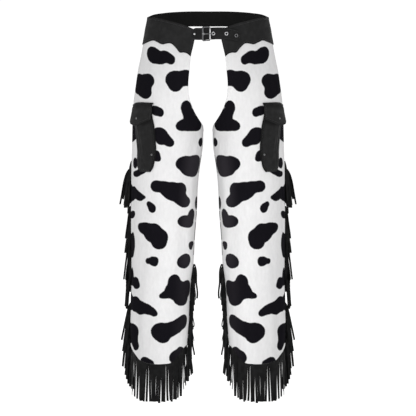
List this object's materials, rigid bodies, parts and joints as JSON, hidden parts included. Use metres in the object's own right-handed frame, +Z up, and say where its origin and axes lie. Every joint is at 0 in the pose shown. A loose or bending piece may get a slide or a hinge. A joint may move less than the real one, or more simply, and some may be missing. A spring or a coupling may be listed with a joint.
{
  "type": "fringed chaps",
  "caption": "Hollow worn-form riding chaps with scalloped yokes, buckled belt, open seat, flapped side pockets and fringe down the seams and round the front hems.",
  "frame": {"origin": "centre of the waist ring at the height of the belt, where the wearer holds it up", "axes": "+Z up, towards the wearer's head; -Y towards the front, where the buckle is; +X towards the right as seen from the front"},
  "size_m": [0.459, 0.235, 1.0214],
  "materials": {
    "plush": "short-pile plush, off-white with black cow patches",
    "trim": "black faux leather with a fine grain, satin",
    "fringe": "black faux leather cut into strands",
    "metal": "polished nickel plate"
  },
  "bodies": {
    "root": {"left_front_panel": "plush", "right_front_panel": "plush", "left_back_panel": "plush", "right_back_panel": "plush", "left_yoke": "trim", "right_yoke": "trim", "back_band": "trim", "left_pocket": "trim", "right_pocket": "trim", "left_pocket_flap": "trim", "right_pocket_flap": "trim", "belt_strap": "trim", "buckle_tab": "trim", "left_outer_fringe": "fringe", "right_outer_fringe": "fringe", "left_hem_fringe": "fringe", "right_hem_fringe": "fringe", "left_inner_fringe": "fringe", "right_inner_fringe": "fringe", "left_flap_snap": "metal", "right_flap_snap": "metal", "left_pocket_rivet": "metal", "right_pocket_rivet": "metal", "tab_rivet": "metal", "eyelet_1": "metal", "eyelet_2": "metal", "eyelet_3": "metal", "buckle_frame": "metal", "buckle_prong": "metal"}
  },
  "joints": []
}
